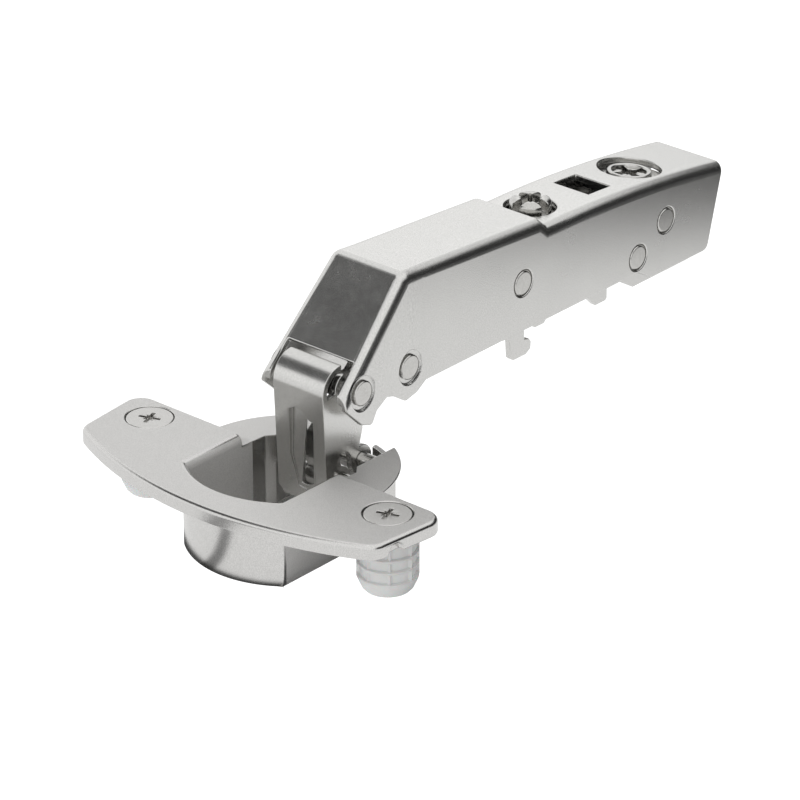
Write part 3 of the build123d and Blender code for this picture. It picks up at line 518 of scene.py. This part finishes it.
# %% Closing spring
NOSE_PIN = (8.0, 13.1)         # Y and Z of the front nose pin, in mm
TURNS, STEPS_PER_TURN = 11, 16
WIRE = 0.7
COIL_R = 1.76
COIL_HALF = 3.5                # half the length of the coil
coil_steps = TURNS * STEPS_PER_TURN
route = [(-COIL_HALF, -COIL_R, -3.6), (-COIL_HALF, -COIL_R, -1.8)]
for k in range(coil_steps + 1):
    turn = math.pi + 2 * math.pi * k / STEPS_PER_TURN
    along = -COIL_HALF + 2 * COIL_HALF * k / coil_steps
    route.append((along, COIL_R * math.cos(turn), -COIL_R * math.sin(turn)))
route += [(COIL_HALF, 0, COIL_R), (COIL_HALF, 2.4, COIL_R)]
wire = bpy.data.curves.new("nose_spring", "CURVE")
wire.dimensions = "3D"
wire.bevel_depth = WIRE / 2 * MM * 0.98
wire.bevel_resolution = 3
wire.use_fill_caps = True
line = wire.splines.new("POLY")
line.points.add(len(route) - 1)
for point, (x, y, z) in zip(line.points, route):
    point.co = (x * MM, (y + NOSE_PIN[0]) * MM, (z + NOSE_PIN[1]) * MM, 1)
spring = bpy.data.objects.new("nose_spring", wire)
bpy.context.collection.objects.link(spring)
only(spring)
bpy.ops.object.convert(target="MESH")
spring = bpy.context.active_object
bpy.ops.object.shade_smooth()
finished(spring, spring_steel, "arm", "closing_spring")


# %% [markdown]
# ## Floor and light
# Polished metal shows what it reflects, so the light is the picture. The photographer stood the hinge
# on white paper in a tent of white cloth, left a dark gap to the left above the camera, which the
# sloping face shows, and stood a wide low dark card on the right, which draws a black line along each
# bend. A world shader paints this tent by direction: it lights the hinge from everywhere, casts no
# hard shadow, and holds nothing that could stand in the way in another view.
#
# The paper glows, and the camera sees it plain white. What the metal reflects of it is painted darker in
# four places: a painted reflection of the dark card far out on the right, a painted dark stripe in front of
# the cup, a painted shade spot beside the cup, and a painted contact shadow in a ring close round it.

# %% Paper floor
FLOOR_GAP = 0.02 * MM          # the paper lies this far below the cup
FLOOR_R = 6.0
PAINTED_CARD_AZIMUTH = 43              # azimuths count from +X to +Y, in degrees
# painted reflection of a dark card: past these distances along its azimuth the paper is dark in reflections
PAINTED_CARD_START, PAINTED_CARD_FULL = 0.103, 0.155
# painted dark stripe, seen in reflections in front of the cup
PAINTED_STRIPE_AZIMUTH, PAINTED_STRIPE_EDGE, PAINTED_STRIPE_CORE = -101, 7, 1.5
# painted shade: a soft dark spot on the paper beside the cup, seen in reflections
PAINTED_SHADE_CENTRE = (0.030, 0.003, 0)
PAPER_SEEN = 1.35              # brightness of the paper to the camera
PAPER_DIFFUSE = 0.08           # share of the paper that takes light instead of giving it


def direction(azimuth, elevation):
    """Unit vector from an azimuth and an elevation, in degrees."""
    a, e = math.radians(azimuth), math.radians(elevation)
    return (math.cos(a) * math.cos(e), math.sin(a) * math.cos(e), math.sin(e))


floor_z = cad_low[2] - FLOOR_GAP
bpy.ops.object.select_all(action="DESELECT")
bpy.ops.mesh.primitive_circle_add(vertices=96, radius=FLOOR_R, fill_type="NGON", location=(0, 0, floor_z))
floor = bpy.context.active_object
floor.name = "paper_floor"
bpy.ops.object.transform_apply(location=True)
paper, tree = new_material("white_paper")
spot = add(tree, "ShaderNodeTexCoord").outputs["Object"]
fibre = add(tree, "ShaderNodeTexNoise", Vector=spot, Scale=900.0)
white = add(tree, "ShaderNodeMix", {"data_type": "RGBA"}, Factor=fibre.outputs["Fac"],
            _6=hex_colour("F8F8F8"), _7=hex_colour("FEFEFE"))
level = add(tree, "ShaderNodeVectorMath", {"operation": "MULTIPLY"}, _0=spot, _1=(1, 1, 0)).outputs["Vector"]

# painted reflection of the dark card, far out on the right
behind = add(tree, "ShaderNodeVectorMath", {"operation": "DOT_PRODUCT"}, _0=spot,
             _1=direction(PAINTED_CARD_AZIMUTH, 0))
painted_dark_card = add(tree, "ShaderNodeMapRange", {"interpolation_type": "SMOOTHSTEP"}, Value=behind.outputs["Value"],
           From_Min=PAINTED_CARD_START, From_Max=PAINTED_CARD_FULL, To_Min=1.0, To_Max=0.02)
# painted dark stripe in front of the cup, in reflections
outward = add(tree, "ShaderNodeVectorMath", {"operation": "NORMALIZE"}, _0=level)
around = add(tree, "ShaderNodeVectorMath", {"operation": "DOT_PRODUCT"}, _0=outward.outputs["Vector"],
             _1=direction(PAINTED_STRIPE_AZIMUTH, 0))
painted_dark_stripe = add(tree, "ShaderNodeMapRange", {"interpolation_type": "SMOOTHSTEP"}, Value=around.outputs["Value"],
             From_Min=math.cos(math.radians(PAINTED_STRIPE_EDGE)), To_Min=1.0,
             From_Max=math.cos(math.radians(PAINTED_STRIPE_CORE)), To_Max=0.25)
# painted shade spot beside the cup, in reflections
beside = add(tree, "ShaderNodeVectorMath", {"operation": "DISTANCE"}, _0=level, _1=PAINTED_SHADE_CENTRE)
shade = add(tree, "ShaderNodeMapRange", {"interpolation_type": "SMOOTHSTEP"}, Value=beside.outputs["Value"],
            From_Min=0.002, From_Max=0.020, To_Min=0.4, To_Max=1.0)
# painted contact shadow: a dark ring close round the cup, in reflections
radius = add(tree, "ShaderNodeVectorMath", {"operation": "LENGTH"}, _0=level)
painted_contact_shadow = add(tree, "ShaderNodeMapRange", {"interpolation_type": "SMOOTHSTEP"},
              Value=radius.outputs["Value"], From_Min=0.0184, From_Max=0.0200, To_Min=0.05, To_Max=1.0)

# the painted shade and painted reflection go only into the glow the metal reflects; camera rays see plain
# white
painted_reflection_glow = painted_dark_stripe.outputs["Result"]
for painted_darkening in (shade, painted_contact_shadow, painted_dark_card):
    painted_reflection_glow = add(tree, "ShaderNodeMath", {"operation": "MULTIPLY"}, _0=painted_reflection_glow,
                   _1=painted_darkening.outputs["Result"]).outputs["Value"]
seen = add(tree, "ShaderNodeLightPath").outputs["Is Camera Ray"]
glow = add(tree, "ShaderNodeMix", {"data_type": "FLOAT"}, Factor=seen, A=painted_reflection_glow, B=PAPER_SEEN)
lit = add(tree, "ShaderNodeEmission", Color=white.outputs[2], Strength=glow.outputs["Result"])
sheet = add(tree, "ShaderNodeBsdfDiffuse", Color=white.outputs[2], Roughness=0.9)
share = add(tree, "ShaderNodeMixShader", Fac=PAPER_DIFFUSE, _1=lit.outputs["Emission"],
            _2=sheet.outputs["BSDF"])
add(tree, "ShaderNodeOutputMaterial", Surface=share.outputs["Shader"])
floor.data.materials.append(paper)
print("paper floor at", round(floor_z / MM, 2), "mm")

# %% Light tent
world = bpy.data.worlds.new("light_tent")
bpy.context.scene.world = world
world.use_nodes = True
tent = world.node_tree
tent.nodes.clear()
toward = add(tent, "ShaderNodeVectorMath", {"operation": "NORMALIZE"},
             _0=add(tent, "ShaderNodeTexCoord").outputs["Generated"]).outputs["Vector"]


def patch(azimuth, elevation, inner, outer):
    """1 inside a round patch of the tent, 0 outside it, in degrees from its middle."""
    near = add(tent, "ShaderNodeVectorMath", {"operation": "DOT_PRODUCT"}, _0=toward,
               _1=direction(azimuth, elevation)).outputs["Value"]
    return add(tent, "ShaderNodeMapRange", {"interpolation_type": "SMOOTHSTEP"}, Value=near,
               From_Min=math.cos(math.radians(outer)), From_Max=math.cos(math.radians(inner)),
               To_Min=0.0, To_Max=1.0).outputs["Result"]


def blended(base, amount, level):
    """Base brightness moved to a level where the amount is 1."""
    return add(tent, "ShaderNodeMix", {"data_type": "FLOAT"},
               Factor=amount, A=base, B=level).outputs["Result"]


CLOTH = 1.05                   # brightness of the tent's cloth
height = add(tent, "ShaderNodeSeparateXYZ", Vector=toward).outputs["Z"]
below_edge = add(tent, "ShaderNodeMapRange", {"interpolation_type": "SMOOTHSTEP"}, Value=height,
                 From_Min=0.50, From_Max=0.66, To_Min=1.0, To_Max=0.0).outputs["Result"]
low_card = add(tent, "ShaderNodeMath", {"operation": "MULTIPLY"},
               _0=below_edge, _1=patch(45, 0, 58, 72)).outputs["Value"]

light = blended(CLOTH, patch(130, 22, 18, 45), 1.0)    # cloth behind the hinge, for its level faces
light = blended(light, patch(129, 27, 4, 11), 1.3)     # a lamp behind that cloth
light = blended(light, patch(-144, 47, 17, 25), 0.08)  # the gap, for the sloping face
light = blended(light, low_card, 0.03)                 # the card, for the bends
light = blended(light, add(tent, "ShaderNodeLightPath").outputs["Is Camera Ray"], 1.3)
cloth = add(tent, "ShaderNodeBackground", Color=hex_colour("FFFFFF"), Strength=light)
add(tent, "ShaderNodeOutputWorld", Surface=cloth.outputs["Background"])
bpy.context.scene.view_settings.view_transform = "Standard"
print("tent painted")
